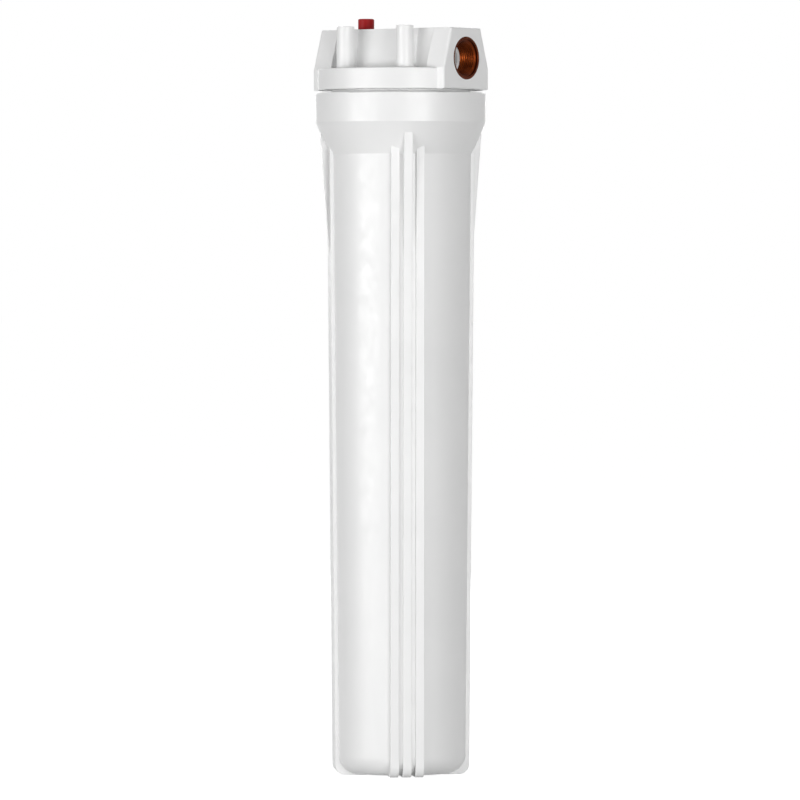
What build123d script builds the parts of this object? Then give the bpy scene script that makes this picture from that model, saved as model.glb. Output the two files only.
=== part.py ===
from build123d import *
import math
import os

os.makedirs("parts", exist_ok=True)

# Millimetres, +Z up. The origin is on the sump's axis, level with the rib ends that it stands on.
# The ports lie along X: the inlet at -X, the outlet at +X.

# Fits
part_gap = 0.3        # between pieces that move against each other
moulded_fit = 0.05    # between pieces that are fixed together
overrun = 1.0         # how far a cut, or a form joined to another, runs past the face it meets

# Cartridge, which sets the height of the bowl
cartridge_length = 508.0
cartridge_radius = 31.5
core_inner_radius = 14.0
core_wall = 2.0
gasket_thickness = 3.0
gasket_inner_radius = 13.2
gasket_outer_radius = 24.0
gasket_recess = 1.0
end_plate = 3.5
end_rim_height = 11.0
end_rim_wall = 1.6
end_rim_chamfer = 1.0
cage_wall = 1.5
cage_row_count = 12
cage_column_count = 8
cage_bar = 8.0
cage_post_deg = 14.0
core_row_count = 10
core_column_count = 6
core_bar = 14.0
core_post_deg = 33.0
pleat_count = 40
pleat_core_gap = 0.4
pleat_cage_gap = 0.15
pleat_offset = 2.0            # radial shift between the two faces of the folded sheet

# Seat for the cartridge, on the sump's floor
seat_ring_radius = 17.0       # middle of both knife ridges
seat_ring_width = 6.0
seat_ring_height = 0.6
ridge_height = 1.5
ridge_base = 2.4
ridge_tip = 0.6
spigot_radius = 12.5
spigot_height = 14.0
spigot_taper = 1.0
spigot_bore_radius = 8.5
fin_count = 4
fin_thickness = 2.6
fin_height = 15.0
fin_chamfer = 4.0
fin_turn_deg = 45.0

# Sump: wall, floor, flared cone and collar
foot_height = 0.9             # the ribs stand below the floor by this much
floor_thickness = 6.0
sump_radius_bottom = 50.1
sump_corner_radius = 14.0
inner_corner_radius = 9.0
draft_deg = 0.503
sump_wall = 5.0
cone_height = 24.3
collar_radius = 65.0
collar_height = 22.6
collar_edge_radius = 1.0
rim_above_cartridge = 3.3
bore_radius = 53.5
bore_relief = 5.0             # the bore runs on below the neck by this much
bore_lead_in = 0.8

# Ribs: four groups of three
rib_group_count = 4
group_rib_count = 3
rib_width = 6.6
rib_pitch = 9.6
rib_turn_deg = -47.3          # direction of the first group, from +X
rib_face_bottom = 51.35       # outer face of a group, from the axis
rib_foot_inner = 25.0
rib_corner_radius = 7.6
rib_edge_radius = 0.5
rib_rise = 12.6               # the side ribs end inside the cone, this far up it
flare_drop = 77.9             # the middle rib flares from this far below the cone
flare_rise = 15.9             # to this far up it
flare_face = 61.8

# Cap: flange, port blocks and middle wall
flange_gap = 2.0              # open gap between collar and flange
flange_radius = 63.3
flange_thickness = 16.2
flange_edge_radius = 1.0
port_face_x = 62.5
block_inner_x = 45.4
block_half_width = 28.75
block_rise = 30.5             # from the flange's top to the flat top
wall_half_width = 22.1
top_half_width = 18.8
block_face_radius = 1.9
block_back_radius = 0.7

# Cap: bosses for the bracket screws
boss_x = 28.35
boss_y = 32.3
boss_radius_bottom = 6.9
boss_radius_top = 6.65
boss_rise = 1.8               # above the flat top
boss_edge_radius = 0.5
web_thickness = 4.4
screw_hole_radius = 2.25
screw_hole_depth = 18.0

# Cap: neck, seal groove and hub
neck_radius = 53.2
neck_length = 23.3
neck_inner_radius = 45.0
neck_chamfer = 1.2
neck_land = 9.7               # plain length under the flange, above the thread
thread_depth = 2.2
ceiling_recess = 7.7          # from the flange's underside up to the ceiling
seal_section = 3.2
seal_drop = 5.0               # from the flange's underside down to the middle of the seal
hub_radius = 21.0
hub_bore_radius = 12.0
hub_web_count = 8
hub_web_thickness = 2.4
hub_web_rise = 4.0            # the webs stop this far above the hub's lower face

# Ports and water passages
port_rise = 7.5               # from the flange's top to the ports' axis
passage_radius = 9.5
inlet_drop_radius = 8.0
insert_length = 15.5
insert_mouth_radius = 16.25
insert_body_radius = 15.0
insert_bore_radius = 12.15
insert_groove_count = 2
insert_groove_width = 2.6
mouth_recess_radius = 14.6
mouth_recess_depth = 1.2
mouth_chamfer = 1.3

# Pressure-release button and its valve
button_x = -33.1
button_radius = 6.2
button_rise = 8.7             # above the flat top
button_length = 12.1
button_edge_radius = 1.0
button_travel = 3.5
button_roof = 2.4
button_cup_radius = 4.7
button_post_radius = 2.6
button_post_recess = 1.9      # the post ends this far above the button's lower edge
pocket_floor_gap = 1.5        # left under the button when it is pressed home
pocket_rim_chamfer = 0.5
valve_web = 3.6               # plastic between the pocket's floor and the valve's roof
stem_radius = 1.5
stem_socket_depth = 5.0
stem_press = 0.01
stem_chamfer = 0.4
vent_gap = 0.5
head_radius = 4.6
head_thickness = 2.9
head_chamfer = 0.5
valve_seal_section = 1.8
valve_seal_radius = 3.0
spring_wire = 0.8
spring_radius = 3.75
spring_turns = 6
wire_side_count = 8

# Heights and radii that follow
draft = math.tan(math.radians(draft_deg))
floor_z = foot_height
floor_top_z = floor_z + floor_thickness
seat_top_z = floor_top_z + seat_ring_height
cartridge_bottom_z = seat_top_z + ridge_height
cartridge_top_z = cartridge_bottom_z + cartridge_length
end_plate_z = cartridge_bottom_z + gasket_thickness - gasket_recess
tube_bottom_z = end_plate_z + end_plate
tube_length = cartridge_bottom_z + cartridge_top_z - 2 * tube_bottom_z
cage_inner_radius = cartridge_radius - end_rim_wall - moulded_fit - cage_wall
pleat_inner_radius = core_inner_radius + core_wall + pleat_core_gap
pleat_outer_radius = cage_inner_radius - pleat_cage_gap
collar_top_z = cartridge_top_z + rim_above_cartridge
cone_top_z = collar_top_z - collar_height
cone_bottom_z = cone_top_z - cone_height
sump_radius_top = sump_radius_bottom + (cone_bottom_z - floor_z) * draft
rib_top_z = cone_bottom_z + rib_rise
flare_bottom_z = cone_bottom_z - flare_drop
flare_top_z = cone_bottom_z + flare_rise
rib_face_flare = rib_face_bottom + flare_bottom_z * draft
rib_face_top = rib_face_bottom + rib_top_z * draft
flange_bottom_z = collar_top_z + flange_gap
flange_top_z = flange_bottom_z + flange_thickness
ceiling_z = flange_bottom_z + ceiling_recess
neck_bottom_z = flange_bottom_z - neck_length
thread_top_z = flange_bottom_z - neck_land
bore_bottom_z = neck_bottom_z - bore_relief
seal_z = flange_bottom_z - seal_drop
seal_radius = bore_radius - part_gap - seal_section / 2
groove_radius = seal_radius - seal_section / 2 - part_gap
groove_half_width = seal_section / 2 + part_gap
hub_tip_z = cartridge_top_z + part_gap
hub_bottom_z = hub_tip_z + ridge_height
block_top_z = flange_top_z + block_rise
boss_top_z = block_top_z + boss_rise
port_z = flange_top_z + port_rise
insert_inner_x = port_face_x - insert_length
button_top_z = block_top_z + button_rise
button_bottom_z = button_top_z - button_length
button_post_bottom_z = button_bottom_z + button_post_recess
pocket_radius = button_radius + part_gap
pocket_floor_z = button_bottom_z - button_travel - pocket_floor_gap
valve_roof_z = pocket_floor_z - valve_web
stem_bore_radius = stem_radius + vent_gap
head_top_z = valve_roof_z - part_gap
spring_top_z = button_top_z - button_roof


def revolved(points):
    """A turned solid from its half section, given as (radius, height) points."""
    section = Plane.XZ * make_face(Polyline(*points, close=True))
    return revolve(section, Axis.Z)


def upright(radius, bottom_z, top_z, x=0.0, y=0.0):
    """An upright round bar between two heights, to add or to cut."""
    bar = Cylinder(radius, top_z - bottom_z, align=(Align.CENTER, Align.CENTER, Align.MIN))
    return Pos(x, y, bottom_z) * bar


def level(radius, start_x, end_x):
    """A round bar along the ports' axis, to add or to cut."""
    return Pos((start_x + end_x) / 2, 0, port_z) * Rot(0, 90, 0) * Cylinder(radius, abs(end_x - start_x))


def standing_box(length, width, bottom_z, top_z):
    """A box centred on the axis between two heights."""
    box = Box(length, width, top_z - bottom_z, align=(Align.CENTER, Align.CENTER, Align.MIN))
    return Pos(0, 0, bottom_z) * box


def round_edges(body):
    """The body's circular edges, from the lowest to the highest."""
    return body.edges().filter_by(GeomType.CIRCLE).sort_by(Axis.Z)


def knife_ridge(base_z, tip_z):
    """The ring that bites into a cartridge gasket, from its base height to its tip height."""
    return revolved([
        (seat_ring_radius - ridge_base / 2, base_z),
        (seat_ring_radius + ridge_base / 2, base_z),
        (seat_ring_radius + ridge_tip / 2, tip_z),
        (seat_ring_radius - ridge_tip / 2, tip_z),
    ])


# Sump

def sump_outside():
    """The bowl's outer form: drafted wall, rounded bottom, flared cone and collar."""
    body = revolved([
        (0, floor_z),
        (sump_radius_bottom, floor_z),
        (sump_radius_top, cone_bottom_z),
        (collar_radius, cone_top_z),
        (collar_radius, collar_top_z),
        (0, collar_top_z),
    ])
    body = fillet(round_edges(body)[0], sump_corner_radius)
    return fillet(round_edges(body)[-2:], collar_edge_radius)


def sump_inside():
    """The space in the bowl: an even wall up to the cone, then the bore that takes the cap's neck."""
    cavity = revolved([
        (0, floor_top_z),
        (sump_radius_bottom - sump_wall + floor_thickness * draft, floor_top_z),
        (sump_radius_top - sump_wall, cone_bottom_z),
        (bore_radius, bore_bottom_z),
        (bore_radius, collar_top_z - bore_lead_in),
        (bore_radius + bore_lead_in, collar_top_z),
        (0, collar_top_z),
    ])
    return fillet(round_edges(cavity)[0], inner_corner_radius)


def rib(offset, flared):
    """One upright rib, drafted with the wall. The flared one follows the cone at its top."""
    if flared:
        top = [(rib_face_flare, flare_bottom_z), (flare_face, flare_top_z), (rib_foot_inner, flare_top_z)]
    else:
        top = [(rib_face_top, rib_top_z), (rib_foot_inner, rib_top_z)]
    outline = [(rib_foot_inner, 0), (rib_face_bottom, 0)] + top
    section = Plane.XZ * make_face(Polyline(*outline, close=True))
    plate = Pos(0, offset, 0) * extrude(section, rib_width / 2, both=True)
    foot = plate.edges().filter_by(Axis.Y).sort_by(Axis.Z)[0:2].sort_by(Axis.X)[-1]
    plate = fillet(foot, rib_corner_radius)
    outer = plate.edges().filter_by(lambda e: e.center().X > rib_face_bottom)
    return fillet(outer.filter_by(Axis.Y, reverse=True), rib_edge_radius)


def rib_group(turn_deg):
    """Parallel ribs whose outer faces lie in one plane, with the flared one in the middle."""
    middle = (group_rib_count - 1) / 2
    ribs = [rib((i - middle) * rib_pitch, i == middle) for i in range(group_rib_count)]
    return [Rot(0, 0, turn_deg) * r for r in ribs]


def cartridge_seat():
    """The floor's seat ring with its ridge, and the spigot that centres the cartridge."""
    base_z = floor_top_z - overrun
    seat_ring = revolved([
        (seat_ring_radius - seat_ring_width / 2, base_z),
        (seat_ring_radius + seat_ring_width / 2, base_z),
        (seat_ring_radius + seat_ring_width / 2, seat_top_z),
        (seat_ring_radius - seat_ring_width / 2, seat_top_z),
    ])
    spigot = revolved([
        (spigot_bore_radius, base_z),
        (spigot_radius, base_z),
        (spigot_radius, cartridge_bottom_z),
        (spigot_radius - spigot_taper, floor_top_z + spigot_height),
        (spigot_bore_radius, floor_top_z + spigot_height),
    ])
    return seat_ring + knife_ridge(seat_top_z, cartridge_bottom_z) + spigot


def centring_fin(turn_deg):
    """An upright fin between the wall and the cartridge's end cap."""
    inner = cartridge_radius + part_gap
    outer = sump_radius_bottom - sump_wall / 2
    plate = standing_box(outer - inner, fin_thickness, floor_top_z - overrun, floor_top_z + fin_height)
    lead_in = plate.edges().filter_by(Axis.Y).sort_by(Axis.Z)[-2:].sort_by(Axis.X)[0]
    return Rot(0, 0, turn_deg) * Pos((inner + outer) / 2, 0, 0) * chamfer(lead_in, fin_chamfer)


def make_sump():
    """The whole bowl as one moulding."""
    body = sump_outside()
    for i in range(rib_group_count):
        body = body + rib_group(rib_turn_deg + i * 360 / rib_group_count)
    body = body - sump_inside() + cartridge_seat()
    for i in range(fin_count):
        body = body + centring_fin(fin_turn_deg + i * 360 / fin_count)
    return body


# Cap

def drafted_block(half_low, start_x, end_x):
    """A block along X whose sides are upright up to the flange's top and then lean in."""
    outline = [
        (-half_low, flange_bottom_z),
        (half_low, flange_bottom_z),
        (half_low, flange_top_z),
        (top_half_width, block_top_z),
        (-top_half_width, block_top_z),
        (-half_low, flange_top_z),
    ]
    section = Plane.YZ * make_face(Polyline(*outline, close=True))
    return Pos(start_x, 0, 0) * extrude(section, end_x - start_x)


def port_block(turn_deg):
    """The tapered block that carries one port, with its outer face rounded all round."""
    block = drafted_block(block_half_width, block_inner_x, port_face_x)
    block = fillet(block.faces().sort_by(Axis.X)[-1].edges(), block_face_radius)
    middle_z = (flange_top_z + block_top_z) / 2
    back = block.faces().sort_by(Axis.X)[0].edges()
    leaning = back.filter_by(lambda e: abs(e.center().Z - middle_z) < overrun)
    return Rot(0, 0, turn_deg) * fillet(leaning, block_back_radius)


def flange():
    """The round flange, cut flat where the port faces are."""
    disc = upright(flange_radius, flange_bottom_z, flange_top_z)
    disc = fillet(round_edges(disc), flange_edge_radius)
    flat_to_flat = 2 * (port_face_x - block_face_radius)
    return disc & standing_box(flat_to_flat, 2 * flange_radius, flange_bottom_z, flange_top_z)


def screw_boss(x, y):
    """A round boss for a bracket screw, with the web that ties it to the middle wall."""
    base_z = flange_top_z - overrun
    post = Cone(
        boss_radius_bottom, boss_radius_top, boss_top_z - base_z,
        align=(Align.CENTER, Align.CENTER, Align.MIN),
    )
    post = fillet(round_edges(post)[-1], boss_edge_radius)
    web = standing_box(web_thickness, abs(y), base_z, block_top_z)
    return Pos(x, y, base_z) * post + Pos(x, y / 2, 0) * web


def neck():
    """The neck in the collar: a smooth land with the seal's groove, and a reduced threaded length."""
    root = neck_radius - thread_depth
    top_z = flange_bottom_z + overrun
    return revolved([
        (neck_inner_radius, neck_bottom_z),
        (root - neck_chamfer, neck_bottom_z),
        (root, neck_bottom_z + neck_chamfer),
        (root, thread_top_z - thread_depth / 2),
        (neck_radius, thread_top_z),
        (neck_radius, seal_z - groove_half_width),
        (groove_radius, seal_z - groove_half_width),
        (groove_radius, seal_z + groove_half_width),
        (neck_radius, seal_z + groove_half_width),
        (neck_radius, top_z),
        (neck_inner_radius, top_z),
    ])


def hub():
    """The tube in the cap that closes on the cartridge's upper gasket, and the webs that stiffen it."""
    top_z = ceiling_z + overrun
    body = upright(hub_radius, hub_bottom_z, top_z) + knife_ridge(hub_bottom_z, hub_tip_z)
    start = hub_radius - overrun
    length = neck_inner_radius + overrun - start
    web_bottom_z = hub_bottom_z + hub_web_rise
    web = Pos(start + length / 2, 0, 0) * standing_box(length, hub_web_thickness, web_bottom_z, top_z)
    for i in range(hub_web_count):
        body = body + Rot(0, 0, (2 * i + 1) * 180 / hub_web_count) * web
    return body


def insert_blank(fit):
    """A port insert's outside, at the outlet: a turned blank with grooves that the plastic fills."""
    body = level(insert_mouth_radius + fit, insert_inner_x - fit, port_face_x)
    land = (insert_length - insert_groove_count * insert_groove_width) / (insert_groove_count + 1)
    for i in range(insert_groove_count):
        start = insert_inner_x + land + i * (land + insert_groove_width) + fit
        end = start + insert_groove_width - 2 * fit
        ring = level(insert_mouth_radius + 2 * fit, start, end) - level(insert_body_radius + fit, start, end)
        body = body - ring
    return body


def passages():
    """The water passages: inlet to the space round the cartridge, and hub to outlet."""
    return [
        level(passage_radius, -insert_inner_x - overrun, button_x + passage_radius),
        upright(inlet_drop_radius, ceiling_z - overrun, valve_roof_z, button_x),
        level(passage_radius, -passage_radius, insert_inner_x + overrun),
        upright(hub_bore_radius, hub_tip_z - overrun, port_z),
    ]


def button_pocket():
    """The pocket for the button, and the stem's bore between the pocket and the inlet passage."""
    rim = Cone(
        pocket_radius, pocket_radius + 2 * pocket_rim_chamfer, 2 * pocket_rim_chamfer,
        align=(Align.CENTER, Align.CENTER, Align.MIN),
    )
    return [
        upright(pocket_radius, pocket_floor_z, block_top_z + overrun, button_x),
        Pos(button_x, 0, block_top_z - pocket_rim_chamfer) * rim,
        upright(stem_bore_radius, valve_roof_z - overrun, pocket_floor_z + overrun, button_x),
    ]


def make_cap():
    """The whole head as one moulding."""
    body = flange() + port_block(0) + port_block(180)
    body = body + drafted_block(wall_half_width, -block_inner_x - overrun, block_inner_x + overrun)
    corners = [(x, y) for x in (-boss_x, boss_x) for y in (-boss_y, boss_y)]
    for x, y in corners:
        body = body + screw_boss(x, y)
    body = body + neck()
    body = body - upright(neck_inner_radius, flange_bottom_z - overrun, ceiling_z) + hub()
    for x, y in corners:
        body = body - upright(screw_hole_radius, boss_top_z - screw_hole_depth, boss_top_z + overrun, x, y)
    insert_pocket = insert_blank(moulded_fit)
    for cutter in passages() + button_pocket() + [insert_pocket, Rot(0, 0, 180) * insert_pocket]:
        body = body - cutter
    return body


def make_insert(turn_deg):
    """A threaded port ring, with the stepped mouth that a pipe enters."""
    mouth_x = port_face_x - mouth_recess_depth
    body = insert_blank(0) - level(insert_bore_radius, insert_inner_x - overrun, port_face_x + overrun)
    mouth = body - level(mouth_recess_radius, mouth_x, port_face_x + overrun)
    lead_in = mouth.edges().filter_by(GeomType.CIRCLE).filter_by(
        lambda e: abs(e.radius - insert_bore_radius) < moulded_fit
    ).sort_by(Axis.X)[-1]
    return Rot(0, 0, turn_deg) * chamfer(lead_in, mouth_chamfer)


def make_seal_ring():
    """The round ring in the neck's groove."""
    return Pos(0, 0, seal_z) * Torus(seal_radius, seal_section / 2)


# Button and valve

def make_button():
    """The red button: a cup that guides in the pocket, with a post that takes the stem."""
    body = upright(button_radius, button_bottom_z, button_top_z)
    body = fillet(round_edges(body)[-1], button_edge_radius)
    body = body - upright(button_cup_radius, button_bottom_z - overrun, spring_top_z)
    body = body + upright(button_post_radius, button_post_bottom_z, spring_top_z + overrun)
    socket_top_z = button_post_bottom_z + stem_socket_depth
    body = body - upright(stem_radius - stem_press, button_post_bottom_z - overrun, socket_top_z)
    return Pos(button_x, 0, 0) * body


def make_valve_stem():
    """The pin pressed into the button, with the head that carries the vent's seal."""
    bottom_z = head_top_z - head_thickness
    pin = upright(stem_radius, bottom_z, button_post_bottom_z + stem_socket_depth)
    pin = chamfer(round_edges(pin)[-1], stem_chamfer)
    head = upright(head_radius, bottom_z, head_top_z)
    head = chamfer(round_edges(head)[0], head_chamfer)
    reach = valve_seal_section / 2 + moulded_fit
    groove_bottom_z = head_top_z - valve_seal_section
    groove = upright(valve_seal_radius + reach, groove_bottom_z, head_top_z)
    groove = groove - upright(valve_seal_radius - reach, groove_bottom_z, head_top_z)
    return Pos(button_x, 0, 0) * (pin + head - groove)


def make_valve_seal():
    """The small round ring in the stem head's groove."""
    half = valve_seal_section / 2
    return Pos(button_x, 0, head_top_z - half) * Torus(valve_seal_radius, half)


def make_spring():
    """The button's return spring, between the pocket's floor and the button's roof."""
    length = spring_top_z - pocket_floor_z - spring_wire
    path = Helix(pitch=length / spring_turns, height=length, radius=spring_radius)
    wire = Plane(origin=path @ 0, z_dir=path % 0) * RegularPolygon(spring_wire / 2, wire_side_count)
    coil = sweep(wire, path=path, is_frenet=True)
    return Pos(button_x, 0, pocket_floor_z + spring_wire / 2) * coil


# Cartridge

def upper(piece):
    """The same piece at the cartridge's upper end."""
    return mirror(piece, Plane.XY.offset((cartridge_bottom_z + cartridge_top_z) / 2))


def end_gasket():
    """The flat ring that the knife ridge bites, at the lower end."""
    top_z = cartridge_bottom_z + gasket_thickness
    disc = upright(gasket_outer_radius, cartridge_bottom_z, top_z)
    return disc - upright(gasket_inner_radius, cartridge_bottom_z, top_z)


def end_cap():
    """The cup that closes the pleats, with a recess for the gasket and a rim round the cage."""
    recess_z = end_plate_z + gasket_recess
    recess_radius = gasket_outer_radius + moulded_fit
    rim_top_z = end_plate_z + end_rim_height
    return revolved([
        (core_inner_radius, recess_z),
        (recess_radius, recess_z),
        (recess_radius, end_plate_z),
        (cartridge_radius - end_rim_chamfer, end_plate_z),
        (cartridge_radius, end_plate_z + end_rim_chamfer),
        (cartridge_radius, rim_top_z),
        (cartridge_radius - end_rim_wall, rim_top_z),
        (cartridge_radius - end_rim_wall, tube_bottom_z),
        (core_inner_radius, tube_bottom_z),
    ])


def windowed_tube(inner, wall, rows, columns, bar, post_deg):
    """A tube with rows of windows, which stands between the two end plates."""
    top_z = tube_bottom_z + tube_length
    tube = upright(inner + wall, tube_bottom_z, top_z) - upright(inner, tube_bottom_z, top_z)
    pitch = (tube_length - 2 * end_rim_height + bar) / rows
    reach = inner + wall + overrun
    width = 2 * (inner + wall / 2) * math.sin(math.radians(360 / columns - post_deg) / 2)
    windows = []
    for row in range(rows):
        bottom_z = tube_bottom_z + end_rim_height + row * pitch
        window = Pos(reach / 2, 0, 0) * standing_box(reach, width, bottom_z, bottom_z + pitch - bar)
        windows += [Rot(0, 0, column * 360 / columns) * window for column in range(columns)]
    return tube - windows


def folded_face(inner, outer):
    """The area inside one zigzag of the pleated sheet."""
    points = []
    for i in range(2 * pleat_count):
        angle = math.pi * i / pleat_count
        radius = outer if i % 2 else inner
        points.append((radius * math.cos(angle), radius * math.sin(angle)))
    return make_face(Polyline(*points, close=True))


def make_media():
    """The pleated sheet between core and cage."""
    sheet = folded_face(pleat_inner_radius + pleat_offset, pleat_outer_radius)
    sheet = sheet - folded_face(pleat_inner_radius, pleat_outer_radius - pleat_offset)
    return Pos(0, 0, tube_bottom_z) * extrude(sheet, tube_length)


pieces = {
    "sump": make_sump(),
    "cap": make_cap(),
    "seal_ring": make_seal_ring(),
    "inlet_insert": make_insert(180),
    "outlet_insert": make_insert(0),
    "relief_button": make_button(),
    "button_spring": make_spring(),
    "valve_stem": make_valve_stem(),
    "valve_seal": make_valve_seal(),
    "cartridge_core": windowed_tube(
        core_inner_radius, core_wall, core_row_count, core_column_count, core_bar, core_post_deg
    ),
    "cartridge_media": make_media(),
    "cartridge_cage": windowed_tube(
        cage_inner_radius, cage_wall, cage_row_count, cage_column_count, cage_bar, cage_post_deg
    ),
    "cartridge_cap_bottom": end_cap(),
    "cartridge_cap_top": upper(end_cap()),
    "cartridge_gasket_bottom": end_gasket(),
    "cartridge_gasket_top": upper(end_gasket()),
}
for name, piece in pieces.items():
    export_step(piece, f"parts/{name}.step")
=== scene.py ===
import logging
import math
from dataclasses import dataclass, field
from enum import Enum
from typing import Sequence

import bmesh
import bpy
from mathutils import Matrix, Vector


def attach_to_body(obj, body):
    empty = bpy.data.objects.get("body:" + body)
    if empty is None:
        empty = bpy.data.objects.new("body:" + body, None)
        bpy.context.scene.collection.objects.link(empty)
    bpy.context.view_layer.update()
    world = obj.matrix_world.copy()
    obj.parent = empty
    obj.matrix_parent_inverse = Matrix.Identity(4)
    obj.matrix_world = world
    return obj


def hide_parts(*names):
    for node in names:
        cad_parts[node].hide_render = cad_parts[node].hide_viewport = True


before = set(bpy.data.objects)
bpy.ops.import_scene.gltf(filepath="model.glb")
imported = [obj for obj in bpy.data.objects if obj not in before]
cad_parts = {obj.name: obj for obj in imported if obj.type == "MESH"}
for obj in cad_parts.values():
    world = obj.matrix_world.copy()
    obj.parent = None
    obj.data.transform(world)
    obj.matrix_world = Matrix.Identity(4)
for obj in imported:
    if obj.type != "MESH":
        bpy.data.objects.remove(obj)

# Sizes are in millimetres as in the part's source. The meshes are made in metres.
MM = 0.001
# Corners of a new mesh that lie this close become one, and slivers thinner than this go.
MERGED_WITHIN = 0.0015 * MM
SLIVER = 0.001 * MM
CAMERA_FILM_MM = 36.0
WHITE = (1.0, 1.0, 1.0, 1.0)

log = logging.getLogger("housing")

Point = tuple[float, float, float]
Colour = tuple[float, float, float]
Socket = bpy.types.NodeSocket


class Body(Enum):
    """The bodies that move against each other."""

    SUMP = "sump_body"
    SEAL = "seal_body"
    CAP = "cap_body"
    BUTTON = "button_body"


class Slot(Enum):
    """The material slots of the part's record."""

    WHITE = "white_plastic"
    RED = "red_plastic"
    BRASS = "insert_brass"
    SEAL = "seal_rubber"
    STEEL = "spring_steel"
    CARTRIDGE = "cartridge_plastic"
    SHEET = "pleated_sheet"
    END_CAP = "end_cap_plastic"
    FOAM = "gasket_foam"


class NodeSheet:
    """A material's nodes, laid down one after another and joined by their sockets."""

    def __init__(self, name: str) -> None:
        """Starts an empty node tree.

        Args:
            name: the material's name.
        """
        self.material = bpy.data.materials.new(name)
        self.material.use_nodes = True
        self.tree = self.material.node_tree
        self.tree.nodes.clear()
        self.place = self.node("ShaderNodeTexCoord").outputs["Object"]

    def node(self, kind: str, **settings: object) -> bpy.types.Node:
        """Adds one node.

        Args:
            kind: Blender's name for the node.
            settings: properties of the node to set.

        Returns:
            The new node.
        """
        made = self.tree.nodes.new(kind)
        for key, value in settings.items():
            setattr(made, key, value)
        return made

    def put(self, target: Socket, value: "Socket | float | Sequence[float]") -> None:
        """Feeds an input with another node's output, or with a constant.

        Args:
            target: the input.
            value: an output to link, or a number or colour to set.
        """
        if isinstance(value, bpy.types.NodeSocket):
            self.tree.links.new(value, target)
        else:
            target.default_value = value

    def noise(self, per_metre: float, detail: float = 2.0, at: "Socket | None" = None) -> Socket:
        """A cloudy pattern of a real size.

        Args:
            per_metre: how many of its cells lie in a metre.
            detail: how many finer layers it has.
            at: the coordinates, or None for the object's own.

        Returns:
            The pattern, around one half.
        """
        cloud = self.node("ShaderNodeTexNoise")
        self.put(cloud.inputs["Vector"], at or self.place)
        self.put(cloud.inputs["Scale"], per_metre)
        self.put(cloud.inputs["Detail"], detail)
        return cloud.outputs["Fac"]

    def spread(
        self, value: Socket, low: float = 0.0, high: float = 1.0,
        inner: tuple[float, float] = (0.3, 0.7),
    ) -> Socket:
        """Stretches a pattern between two values.

        Args:
            value: the pattern.
            low: the value for the pattern's lower end.
            high: the value for its upper end.
            inner: the part of the pattern's range that is used.

        Returns:
            The stretched pattern.
        """
        ramp = self.node("ShaderNodeMapRange")
        self.put(ramp.inputs["Value"], value)
        for key, number in zip(("From Min", "From Max", "To Min", "To Max"), (*inner, low, high)):
            self.put(ramp.inputs[key], number)
        return ramp.outputs["Result"]

    def blend(self, factor: Socket, first: Colour, second: Colour) -> Socket:
        """A colour that goes from one to another with a pattern.

        Args:
            factor: the pattern, from zero to one.
            first: the colour at zero.
            second: the colour at one.

        Returns:
            The mixed colour.
        """
        mix = self.node("ShaderNodeMix", data_type="RGBA")
        self.put(mix.inputs[0], factor)
        self.put(mix.inputs[6], (*first, 1.0))
        self.put(mix.inputs[7], (*second, 1.0))
        return mix.outputs[2]

    def bump(self, height: Socket, depth: float, under: "Socket | None" = None) -> Socket:
        """A relief of a real depth.

        Args:
            height: the pattern that gives the relief.
            depth: the relief's depth in metres.
            under: a coarser relief that it lies on.

        Returns:
            The surface's normal.
        """
        relief = self.node("ShaderNodeBump")
        self.put(relief.inputs["Distance"], depth)
        self.put(relief.inputs["Height"], height)
        if under is not None:
            self.put(relief.inputs["Normal"], under)
        return relief.outputs["Normal"]

    def math(self, operation: str, first: Socket, second: "Socket | float") -> Socket:
        """One sum on two values.

        Args:
            operation: Blender's name for the sum.
            first: the first value.
            second: the second value.

        Returns:
            The result.
        """
        sum_node = self.node("ShaderNodeMath", operation=operation)
        self.put(sum_node.inputs[0], first)
        self.put(sum_node.inputs[1], second)
        return sum_node.outputs[0]

    def finish(self, **sockets: "Socket | float | Colour") -> bpy.types.Material:
        """Adds the shader and the output.

        Args:
            sockets: the shader's inputs by name, with underscores for spaces.

        Returns:
            The finished material.
        """
        shader = self.node("ShaderNodeBsdfPrincipled")
        for key, value in sockets.items():
            self.put(shader.inputs[key.replace("_", " ")], value)
        output = self.node("ShaderNodeOutputMaterial")
        self.put(output.inputs["Surface"], shader.outputs["BSDF"])
        return self.material


@dataclass(frozen=True)
class MouldedPlastic:
    """Moulded plastic: an even colour with faint clouds, a fine etched grain and shallow sinks."""

    name: str
    colour: Colour
    shade: Colour
    roughness: float = 0.38
    roughness_spread: float = 0.07
    grain_per_metre: float = 1400.0
    grain_depth: float = 0.000012
    sinks_per_metre: float = 26.0
    sink_depth: float = 0.00012
    clouds_per_metre: float = 18.0
    flow_per_metre: float = 160.0
    specular: float = 0.5
    refraction: float = 1.49

    def build(self) -> bpy.types.Material:
        """Makes the material.

        Returns:
            The finished material.
        """
        sheet = NodeSheet(self.name)
        clouds = sheet.spread(sheet.noise(self.clouds_per_metre, 4.0))
        flow = sheet.noise(self.flow_per_metre, 3.0)
        low, high = self.roughness - self.roughness_spread, self.roughness + self.roughness_spread
        sinks = sheet.bump(sheet.noise(self.sinks_per_metre, 1.0), self.sink_depth)
        return sheet.finish(
            Base_Color=sheet.blend(clouds, self.colour, self.shade),
            Roughness=sheet.spread(flow, low, high),
            Normal=sheet.bump(sheet.noise(self.grain_per_metre, 3.0), self.grain_depth, sinks),
            Specular_IOR_Level=self.specular,
            IOR=self.refraction,
        )


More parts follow.
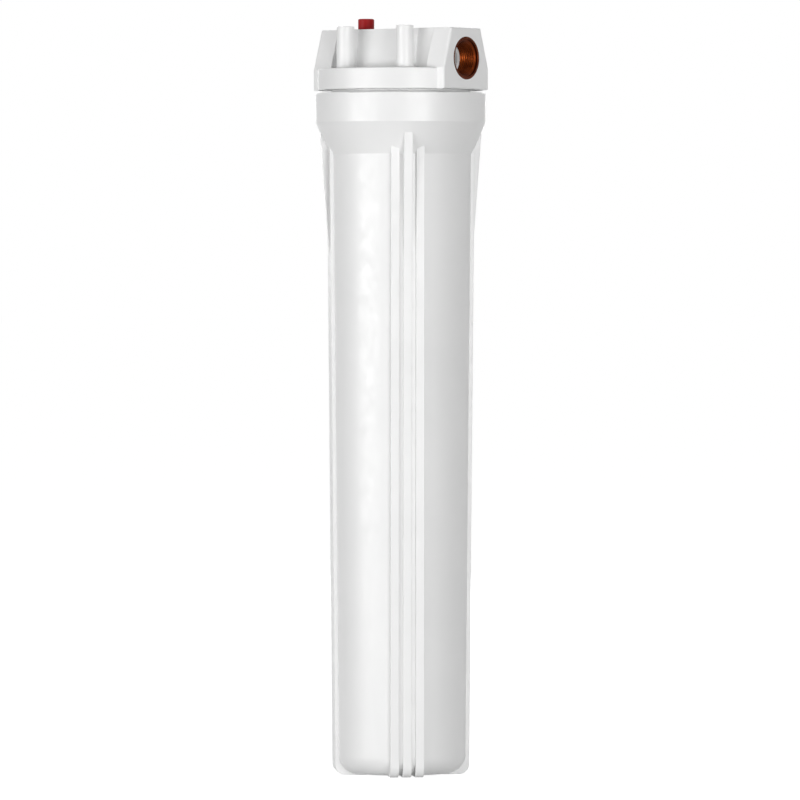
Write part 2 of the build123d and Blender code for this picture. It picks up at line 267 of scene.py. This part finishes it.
@dataclass(frozen=True)
class TurnedBrass:
    """Brass as it leaves the lathe: fine rings round the port's axis and a warm, uneven tarnish."""

    name: str = "turned_brass"
    bright: Colour = (0.105, 0.021, 0.0045)
    tarnished: Colour = (0.06, 0.01, 0.0024)
    roughness: float = 0.38
    polish: float = 0.06
    dulling: float = 0.12
    axis_z: float = 546.0
    rings_per_metre: float = 5200.0
    ring_depth: float = 0.000012
    stains_per_metre: float = 210.0

    def build(self) -> bpy.types.Material:
        """Makes the material.

        Returns:
            The finished material.
        """
        sheet = NodeSheet(self.name)
        split = sheet.node("ShaderNodeSeparateXYZ")
        sheet.put(split.inputs[0], sheet.place)
        height = sheet.math("SUBTRACT", split.outputs["Z"], self.axis_z * MM)
        square_y = sheet.math("POWER", split.outputs["Y"], 2.0)
        square_z = sheet.math("POWER", height, 2.0)
        radius = sheet.math("SQRT", sheet.math("ADD", square_y, square_z), 0.0)
        along = sheet.node("ShaderNodeCombineXYZ")
        sheet.put(along.inputs["X"], split.outputs["X"])
        sheet.put(along.inputs["Y"], radius)
        rings = sheet.noise(self.rings_per_metre, 2.0, along.outputs[0])
        stain = sheet.spread(sheet.noise(self.stains_per_metre, 4.0))
        low, high = self.roughness - self.polish, self.roughness + self.dulling
        return sheet.finish(
            Base_Color=sheet.blend(stain, self.bright, self.tarnished),
            Metallic=1.0,
            Roughness=sheet.spread(stain, low, high, (0.0, 1.0)),
            Normal=sheet.bump(rings, self.ring_depth),
        )


@dataclass(frozen=True)
class Rubber:
    """Black rubber: a dull skin with a film of silicone grease in patches."""

    name: str
    colour: Colour = (0.022, 0.022, 0.024)
    shade: Colour = (0.04, 0.04, 0.042)
    roughness: tuple[float, float] = (0.3, 0.55)
    film_per_metre: float = 240.0
    pores_per_metre: float = 2600.0
    pore_depth: float = 0.00002

    def build(self) -> bpy.types.Material:
        """Makes the material.

        Returns:
            The finished material.
        """
        sheet = NodeSheet(self.name)
        film = sheet.noise(self.film_per_metre, 3.0)
        return sheet.finish(
            Base_Color=sheet.blend(sheet.spread(film), self.colour, self.shade),
            Roughness=sheet.spread(film, *self.roughness),
            Normal=sheet.bump(sheet.noise(self.pores_per_metre, 2.0), self.pore_depth),
        )


@dataclass(frozen=True)
class Foam:
    """Closed-cell foam rubber: round cells with thin walls between them, and painted shade that darkens
    each cell's sunk middle.
    """

    name: str = "gasket_foam"
    colour: Colour = (0.03, 0.03, 0.032)
    shade: Colour = (0.07, 0.07, 0.072)
    roughness: tuple[float, float] = (0.8, 0.95)
    wear_per_metre: float = 300.0
    cells_per_metre: float = 2200.0
    cell_depth: float = 0.00012
    wall_edge: float = 0.9

    def build(self) -> bpy.types.Material:
        """Makes the material.

        Returns:
            The finished material.
        """
        sheet = NodeSheet(self.name)
        cells = sheet.node("ShaderNodeTexVoronoi")
        sheet.put(cells.inputs["Vector"], sheet.place)
        sheet.put(cells.inputs["Scale"], self.cells_per_metre)
        walls = cells.outputs["Distance"]
        return sheet.finish(
            # Painted shade: the colour is darker in the middle of each cell, where the relief sinks,
            # and paler on the walls between cells.
            Base_Color=sheet.blend(
                sheet.spread(walls, inner=(0.0, self.wall_edge)), self.colour, self.shade,
            ),
            Roughness=sheet.spread(sheet.noise(self.wear_per_metre), *self.roughness),
            Normal=sheet.bump(walls, self.cell_depth),
        )


@dataclass(frozen=True)
class DrawnWire:
    """Stainless wire as drawn: bright, with faint marks of the die."""

    name: str = "drawn_wire"
    colour: Colour = (0.62, 0.61, 0.59)
    shade: Colour = (0.5, 0.49, 0.47)
    roughness: tuple[float, float] = (0.2, 0.34)
    marks_per_metre: float = 1800.0
    mark_depth: float = 0.000008

    def build(self) -> bpy.types.Material:
        """Makes the material.

        Returns:
            The finished material.
        """
        sheet = NodeSheet(self.name)
        marks = sheet.noise(self.marks_per_metre, 2.0)
        return sheet.finish(
            Base_Color=sheet.blend(sheet.spread(marks), self.colour, self.shade),
            Metallic=1.0,
            Roughness=sheet.spread(marks, *self.roughness),
            Normal=sheet.bump(marks, self.mark_depth),
        )


@dataclass(frozen=True)
class PleatedFibre:
    """Bonded white fibre: a soft felted face with longer threads in it."""

    name: str = "pleated_fibre"
    colour: Colour = (0.84, 0.835, 0.81)
    shade: Colour = (0.72, 0.715, 0.69)
    roughness: tuple[float, float] = (0.86, 0.97)
    sheen: float = 0.25
    threads_per_metre: float = 900.0
    thread_depth: float = 0.00005
    upright_stretch: float = 0.15
    felt_per_metre: float = 4200.0
    felt_depth: float = 0.00006

    def build(self) -> bpy.types.Material:
        """Makes the material.

        Returns:
            The finished material.
        """
        sheet = NodeSheet(self.name)
        stretch = sheet.node("ShaderNodeMapping")
        sheet.put(stretch.inputs["Vector"], sheet.place)
        sheet.put(stretch.inputs["Scale"], (1.0, 1.0, self.upright_stretch))
        threads = sheet.noise(self.threads_per_metre, 4.0, stretch.outputs[0])
        felt = sheet.bump(sheet.noise(self.felt_per_metre, 3.0), self.felt_depth)
        return sheet.finish(
            Base_Color=sheet.blend(sheet.spread(threads), self.colour, self.shade),
            Roughness=sheet.spread(threads, *self.roughness),
            Sheen_Weight=self.sheen,
            Normal=sheet.bump(threads, self.thread_depth, felt),
        )


def shaped(
    name: str, corners: Sequence[Point], faces: Sequence[Sequence[int]], sharp_deg: float = 32.0
) -> bpy.types.Object:
    """Makes a smooth-shaded mesh object from corners in millimetres.

    Args:
        name: the object's name.
        corners: the corners in millimetres.
        faces: the corners of each face by number.
        sharp_deg: edges that turn by more than this stay crisp.

    Returns:
        The new object, linked into the scene.
    """
    mesh = bpy.data.meshes.new(name)
    mesh.from_pydata([tuple(MM * value for value in corner) for corner in corners], [], faces)
    form = bmesh.new()
    form.from_mesh(mesh)
    bmesh.ops.remove_doubles(form, verts=form.verts, dist=MERGED_WITHIN)
    bmesh.ops.dissolve_degenerate(form, edges=form.edges, dist=SLIVER)
    bmesh.ops.recalc_face_normals(form, faces=form.faces)
    for face in form.faces:
        face.smooth = True
    form.to_mesh(mesh)
    form.free()
    mesh.set_sharp_from_angle(angle=math.radians(sharp_deg))
    made = bpy.data.objects.new(name, mesh)
    bpy.context.scene.collection.objects.link(made)
    return made


def strip_faces(rows: int, columns: int, start: int = 0) -> list[tuple[int, int, int, int]]:
    """Numbers the faces of a sheet of corners laid out row by row.

    Args:
        rows: how many rows of corners there are.
        columns: how many corners are in a row.
        start: the number of the first corner.

    Returns:
        Four corners for each face.
    """
    faces = []
    for row in range(rows - 1):
        for column in range(columns - 1):
            first = start + row * columns + column
            faces.append((first, first + 1, first + columns + 1, first + columns))
    return faces


def dress(node: str, material: bpy.types.Material) -> None:
    """Gives a node of the frame its finish.

    Args:
        node: the node's name.
        material: the finish.
    """
    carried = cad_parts[node]
    if not carried.material_slots:
        carried.data.materials.append(material)
    for slot in carried.material_slots:
        slot.material = material
    log.info("dressed %s with %s", node, material.name)


def attach(
    piece: bpy.types.Object, body: Body, slot: Slot, material: bpy.types.Material, *stands_for: str
) -> None:
    """Fixes a new piece to its body and gives it its finish.

    Args:
        piece: the new piece.
        body: the body that it moves with.
        slot: the record's slot that its finish belongs to; not used.
        material: the finish.
        stands_for: the nodes of the frame that it replaces.
    """
    piece.data.materials.append(material)
    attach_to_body(piece, body.value)
    if stands_for:
        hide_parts(*stands_for)
    log.info("made %s, %d faces", piece.name, len(piece.data.polygons))


@dataclass
class ScrewThread:
    """A raised thread on a round wall: one ridge that winds up it and sinks into it at both ends."""

    name: str
    root_radius: float
    crest_radius: float
    start_z: float
    turns: float
    pitch: float = 6.0
    base_width: float = 3.1
    crest_width: float = 1.3
    fade_turns: float = 0.09
    sunk: float = 0.25
    crest_round: float = 0.3
    least_lift: float = 0.02
    fade_power: float = 0.6
    steps_per_turn: int = 120

    def section(self, lift: float) -> list[tuple[float, float]]:
        """The ridge's section, as (radius, height) from its middle line.

        Args:
            lift: how much of its full height it stands out, from zero to one.

        Returns:
            The section's corners, with a small round at the crest.
        """
        outward = 1.0 if self.crest_radius > self.root_radius else -1.0
        foot = self.root_radius - outward * self.sunk
        depth = lift * (abs(self.crest_radius - self.root_radius) + self.sunk)
        half_foot, half_crest = self.base_width / 2, self.crest_width / 2
        easing = self.crest_round
        return [
            (foot, -half_foot),
            (foot + outward * (depth - easing * lift), -half_crest - easing / 2),
            (foot + outward * depth, -half_crest + easing / 2),
            (foot + outward * depth, half_crest - easing / 2),
            (foot + outward * (depth - easing * lift), half_crest + easing / 2),
            (foot, half_foot),
        ]

    def build(self) -> bpy.types.Object:
        """Makes the ridge as one closed mesh.

        Returns:
            The new object.
        """
        count = round(self.turns * self.steps_per_turn)
        corners: list[Point] = []
        for step in range(count + 1):
            turn = step / self.steps_per_turn
            lift = min(1.0, turn / self.fade_turns, (self.turns - turn) / self.fade_turns)
            lift = self.least_lift + (1.0 - self.least_lift) * max(0.0, lift) ** self.fade_power
            angle = 2 * math.pi * turn
            for radius, height in self.section(lift):
                corners.append((
                    radius * math.cos(angle), radius * math.sin(angle),
                    self.start_z + self.pitch * turn + height,
                ))
        size = len(self.section(1.0))
        faces: list[Sequence[int]] = list(strip_faces(count + 1, size))
        for step in range(count):
            first = step * size
            faces.append((first, first + size, first + 2 * size - 1, first + size - 1))
        faces.append(tuple(range(size)))
        faces.append(tuple(range(count * size + size - 1, count * size - 1, -1)))
        return shaped(self.name, corners, faces)


@dataclass
class PortInsert:
    """A threaded port ring: turned outside with two grooves, a stepped mouth and a pipe thread."""

    name: str
    node: str
    turned_about: bool
    inner_x: float = 47.0
    face_x: float = 62.5
    axis_z: float = 546.0
    land_radius: float = 16.25
    groove_radius: float = 15.0
    groove_count: int = 2
    groove_width: float = 2.6
    mouth_radius: float = 14.6
    mouth_depth: float = 1.2
    mouth_break: float = 0.2
    lead_in: float = 1.3
    crest_radius: float = 12.15
    thread_pitch: float = 1.814
    thread_depth: float = 0.7
    columns: int = 144

    def thread_rows(self) -> list[tuple[float, float]]:
        """One pitch of the thread's outline.

        Returns:
            Each corner as (share of the pitch, share of the depth).
        """
        return [(0.0, 0.0), (0.12, 0.0), (0.3, 0.5), (0.48, 1.0), (0.6, 1.0), (0.8, 0.5)]

    def bore_radius_at(self, x: float, turn: float) -> float:
        """The bore's radius, with its thread and the lead-in at the mouth.

        Args:
            x: the place along the port's axis.
            turn: the place round it, in turns.

        Returns:
            The radius in millimetres.
        """
        share = (x / self.thread_pitch - turn) % 1.0
        rows = self.thread_rows() + [(1.0, 0.0)]
        depth = 0.0
        for (low, first), (high, second) in zip(rows, rows[1:]):
            if low <= share <= high:
                depth = first + (second - first) * (share - low) / (high - low)
                break
        threaded = self.crest_radius + depth * self.thread_depth
        mouth_x = self.face_x - self.mouth_depth
        coned = self.crest_radius + self.lead_in - (mouth_x - x)
        return max(threaded, coned)

    def bore(self) -> tuple[list[Point], list[Sequence[int]], int]:
        """The threaded bore as a sheet that winds with its thread.

        Returns:
            The corners, the faces, and how many rows there are.
        """
        mouth_x = self.face_x - self.mouth_depth
        first_turn = math.floor(self.inner_x / self.thread_pitch) - 2
        last_turn = math.ceil(mouth_x / self.thread_pitch) + 1
        starts = [
            (turn + share) * self.thread_pitch
            for turn in range(first_turn, last_turn)
            for share, _ in self.thread_rows()
        ]
        corners: list[Point] = []
        for start in starts:
            for column in range(self.columns + 1):
                turn = column / self.columns
                x = min(max(start + turn * self.thread_pitch, self.inner_x), mouth_x)
                corners.append(self.placed(x, self.bore_radius_at(x, turn), turn))
        return corners, list(strip_faces(len(starts), self.columns + 1)), len(starts)

    def placed(self, x: float, radius: float, turn: float) -> Point:
        """A point of the ring in the frame.

        Args:
            x: the place along the port's axis, outwards.
            radius: the distance from it.
            turn: the place round it, in turns.

        Returns:
            The point in millimetres.
        """
        y = radius * math.cos(2 * math.pi * turn)
        z = self.axis_z + radius * math.sin(2 * math.pi * turn)
        return (-x, -y, z) if self.turned_about else (x, y, z)

    def outside(self) -> list[tuple[float, float]]:
        """The turned outside, from the mouth's step to the inner face.

        Returns:
            Each corner of the outline as (x, radius).
        """
        mouth_x = self.face_x - self.mouth_depth
        line = [
            (mouth_x, self.mouth_radius),
            (self.face_x - self.mouth_break, self.mouth_radius),
            (self.face_x, self.mouth_radius + self.mouth_break),
            (self.face_x, self.land_radius),
        ]
        length = self.face_x - self.inner_x
        land = (length - self.groove_count * self.groove_width) / (self.groove_count + 1)
        for groove in range(self.groove_count):
            start = self.face_x - land - groove * (land + self.groove_width)
            end = start - self.groove_width
            line += [
                (start, self.land_radius), (start, self.groove_radius),
                (end, self.groove_radius), (end, self.land_radius),
            ]
        return line + [(self.inner_x, self.land_radius)]

    def build(self, material: bpy.types.Material) -> None:
        """Makes the ring and fixes it to the cap.

        Args:
            material: its finish.
        """
        corners, faces, rows = self.bore()
        columns = self.columns + 1
        for x, radius in self.outside():
            corners += [self.placed(x, radius, column / self.columns) for column in range(columns)]
        total = len(corners) // columns
        faces += strip_faces(total - rows + 1, columns, (rows - 1) * columns)
        last = (total - 1) * columns
        faces += [(last + i, last + i + 1, i + 1, i) for i in range(self.columns)]
        ring = shaped(self.name, corners, faces)
        attach(ring, Body.CAP, Slot.BRASS, material, self.node)


@dataclass
class Sump:
    """The ribbed bowl with the thread in its collar."""

    thread: ScrewThread = field(default_factory=lambda: ScrewThread(
        name="collar_thread", root_radius=53.5, crest_radius=51.35, start_z=498.8, turns=1.8,
    ))

    def build(self, white: bpy.types.Material) -> None:
        """Dresses the bowl and adds its thread.

        Args:
            white: the white moulding's finish.
        """
        dress("sump", white)
        attach(self.thread.build(), Body.SUMP, Slot.WHITE, white)


@dataclass
class Cap:
    """The head with its two port inserts and the thread on its neck."""

    thread: ScrewThread = field(default_factory=lambda: ScrewThread(
        name="neck_thread", root_radius=51.0, crest_radius=53.15, start_z=501.8, turns=1.35,
    ))
    inserts: tuple[PortInsert, PortInsert] = (
        PortInsert("inlet_thread_ring", "inlet_insert", True),
        PortInsert("outlet_thread_ring", "outlet_insert", False),
    )

    def build(self, white: bpy.types.Material, brass: bpy.types.Material) -> None:
        """Dresses the head, and adds its thread and its port rings.

        Args:
            white: the white moulding's finish.
            brass: the port rings' finish.
        """
        dress("cap", white)
        attach(self.thread.build(), Body.CAP, Slot.WHITE, white)
        for insert in self.inserts:
            insert.build(brass)


@dataclass
class ReliefValve:
    """The red button with its spring, pin and seal."""

    def build(
        self, red: bpy.types.Material, brass: bpy.types.Material, steel: bpy.types.Material,
        rubber: bpy.types.Material,
    ) -> None:
        """Dresses the pieces of the valve.

        Args:
            red: the button's finish.
            brass: the pin's finish.
            steel: the spring's finish.
            rubber: the small seal's finish.
        """
        dress("relief_button", red)
        dress("valve_stem", brass)
        dress("button_spring", steel)
        dress("valve_seal", rubber)


@dataclass
class Cartridge:
    """The pleated cartridge that stands in the bowl."""

    plastic_nodes: tuple[str, ...] = ("cartridge_core", "cartridge_cage")
    cap_nodes: tuple[str, ...] = ("cartridge_cap_bottom", "cartridge_cap_top")
    gasket_nodes: tuple[str, ...] = ("cartridge_gasket_bottom", "cartridge_gasket_top")

    def build(
        self, plastic: bpy.types.Material, blue: bpy.types.Material, fibre: bpy.types.Material,
        foam: bpy.types.Material,
    ) -> None:
        """Dresses the pieces of the cartridge.

        Args:
            plastic: the core's and cage's finish.
            blue: the end caps' finish.
            fibre: the pleated sheet's finish.
            foam: the gaskets' finish.
        """
        for node in self.plastic_nodes:
            dress(node, plastic)
        for node in self.cap_nodes:
            dress(node, blue)
        for node in self.gasket_nodes:
            dress(node, foam)
        dress("cartridge_media", fibre)


@dataclass
class Lamp:
    """One soft lamp that looks at the housing's middle. Its sizes are in metres."""

    name: str
    azimuth_deg: float
    elevation_deg: float
    width: float
    height: float
    watts: float
    distance: float = 3.2

    def build(self, aim: Vector) -> None:
        """Hangs the lamp.

        Args:
            aim: the point that it looks at, in metres.
        """
        data = bpy.data.lights.new(self.name, "AREA")
        data.energy = self.watts
        data.shape = "RECTANGLE"
        data.size = self.width
        data.size_y = self.height
        lamp = bpy.data.objects.new(self.name, data)
        flat = math.cos(math.radians(self.elevation_deg))
        offset = Vector((
            flat * math.cos(math.radians(self.azimuth_deg)),
            flat * math.sin(math.radians(self.azimuth_deg)),
            math.sin(math.radians(self.elevation_deg)),
        ))
        lamp.location = aim + self.distance * offset
        lamp.rotation_euler = offset.to_track_quat("Z", "Y").to_euler()
        bpy.context.scene.collection.objects.link(lamp)


@dataclass
class Studio:
    """A plain pale floor, soft lamps, and the camera at the photograph's angle. Sizes are in metres."""

    view_deg: float = -52.98
    distance: float = 5.09
    lens_mm: float = 299.5
    eye_height: float = 0.3854
    aim_height: float = 0.28583
    aim_aside: float = -0.0005
    sight: float = 60.0
    floor_side: float = 70.0
    floor_colour: Colour = (0.5, 0.5, 0.5)
    floor_lift: float = 0.9
    ambient: float = 0.2
    lamps: tuple[Lamp, ...] = (
        Lamp("left", azimuth_deg=-106.0, elevation_deg=0.5, width=2.4, height=0.6, watts=54.0),
        Lamp("right", azimuth_deg=-26.0, elevation_deg=0.5, width=1.8, height=0.6, watts=50.0),
        Lamp("top", azimuth_deg=-53.0, elevation_deg=60.0, width=1.8, height=1.8, watts=11.0),
        Lamp("back", azimuth_deg=127.0, elevation_deg=12.0, width=1.6, height=1.2, watts=34.0),
    )

    def seen_white(self, tree: bpy.types.NodeTree, rays: Sequence[str]) -> Socket:
        """A value that is one for the named kinds of ray.

        Args:
            tree: the node tree it stands in.
            rays: Blender's names for the kinds of ray.

        Returns:
            The value, one or zero.
        """
        path = tree.nodes.new("ShaderNodeLightPath")
        value = path.outputs[rays[0]]
        for ray in rays[1:]:
            larger = tree.nodes.new("ShaderNodeMath")
            larger.operation = "MAXIMUM"
            tree.links.new(value, larger.inputs[0])
            tree.links.new(path.outputs[ray], larger.inputs[1])
            value = larger.outputs[0]
        return value

    def floor(self) -> None:
        """Lays the pale floor, which looks white to the camera and keeps the shadow."""
        half = self.floor_side / 2
        mesh = bpy.data.meshes.new("floor")
        corners = [(-half, -half, 0), (half, -half, 0), (half, half, 0), (-half, half, 0)]
        mesh.from_pydata(corners, [], [(0, 1, 2, 3)])
        slab = bpy.data.objects.new("floor", mesh)
        bpy.context.scene.collection.objects.link(slab)
        material = bpy.data.materials.new("studio_floor")
        material.use_nodes = True
        tree = material.node_tree
        tree.nodes.clear()
        matt = tree.nodes.new("ShaderNodeBsdfDiffuse")
        matt.inputs["Color"].default_value = (*self.floor_colour, 1.0)
        glow = tree.nodes.new("ShaderNodeEmission")
        lift = tree.nodes.new("ShaderNodeMath")
        lift.operation = "MULTIPLY"
        lift.inputs[1].default_value = self.floor_lift
        seen = self.seen_white(tree, ("Is Camera Ray", "Is Glossy Ray", "Is Transmission Ray"))
        tree.links.new(seen, lift.inputs[0])
        tree.links.new(lift.outputs[0], glow.inputs["Strength"])
        both = tree.nodes.new("ShaderNodeAddShader")
        tree.links.new(matt.outputs[0], both.inputs[0])
        tree.links.new(glow.outputs[0], both.inputs[1])
        output = tree.nodes.new("ShaderNodeOutputMaterial")
        tree.links.new(both.outputs[0], output.inputs["Surface"])
        mesh.materials.append(material)

    def sky(self) -> None:
        """Surrounds the scene with an even light that looks white where it is seen."""
        world = bpy.data.worlds.new("studio")
        bpy.context.scene.world = world
        world.use_nodes = True
        tree = world.node_tree
        tree.nodes.clear()
        seen = self.seen_white(tree, ("Is Camera Ray", "Is Glossy Ray", "Is Transmission Ray"))
        strength = tree.nodes.new("ShaderNodeMapRange")
        tree.links.new(seen, strength.inputs["Value"])
        strength.inputs["To Min"].default_value = self.ambient
        strength.inputs["To Max"].default_value = 1.0
        background = tree.nodes.new("ShaderNodeBackground")
        background.inputs["Color"].default_value = WHITE
        tree.links.new(strength.outputs["Result"], background.inputs["Strength"])
        output = tree.nodes.new("ShaderNodeOutputWorld")
        tree.links.new(background.outputs[0], output.inputs["Surface"])

    def camera(self) -> None:
        """Sets up the camera where the photograph was taken from."""
        data = bpy.data.cameras.new("camera")
        data.lens = self.lens_mm
        data.sensor_width = CAMERA_FILM_MM
        data.clip_end = self.sight
        camera = bpy.data.objects.new("camera", data)
        angle = math.radians(self.view_deg)
        away = Vector((math.cos(angle), math.sin(angle), 0.0))
        right = Vector((-math.sin(angle), math.cos(angle), 0.0))
        aim = right * self.aim_aside + Vector((0.0, 0.0, self.aim_height))
        spot = aim + away * self.distance
        spot.z = self.eye_height
        camera.location = spot
        camera.rotation_euler = (spot - aim).to_track_quat("Z", "Y").to_euler()
        bpy.context.scene.collection.objects.link(camera)
        bpy.context.scene.camera = camera

    def build(self) -> None:
        """Sets up the floor, the light and the camera."""
        self.floor()
        self.sky()
        for lamp in self.lamps:
            lamp.build(Vector((0.0, 0.0, self.aim_height)))
        self.camera()
        bpy.context.scene.view_settings.view_transform = "Standard"
        log.info("studio set with %d lamps", len(self.lamps))


def main() -> None:
    """Builds the housing's pieces in order, then the studio round them."""
    logging.basicConfig(level=logging.INFO, format="%(name)s: %(message)s")
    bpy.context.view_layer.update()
    white = MouldedPlastic(
        "white_moulding", colour=(0.83, 0.83, 0.828), shade=(0.8, 0.802, 0.8),
    ).build()
    red = MouldedPlastic(
        "red_moulding", colour=(0.36, 0.011, 0.013), shade=(0.3, 0.008, 0.01),
        roughness=0.48, specular=0.16,
    ).build()
    matt_white = MouldedPlastic(
        "cartridge_moulding", colour=(0.8, 0.8, 0.78), shade=(0.74, 0.74, 0.725), roughness=0.55,
    ).build()
    blue = MouldedPlastic(
        "potted_plastic", colour=(0.2, 0.34, 0.58), shade=(0.16, 0.28, 0.5), roughness=0.5,
    ).build()
    brass = TurnedBrass().build()
    rubber = Rubber("seal_rubber").build()
    Sump().build(white)
    Cap().build(white, brass)
    dress("seal_ring", rubber)
    ReliefValve().build(red, brass, DrawnWire().build(), rubber)
    Cartridge().build(matt_white, blue, PleatedFibre().build(), Foam().build())
    Studio().build()


if __name__ == "__main__":
    main()
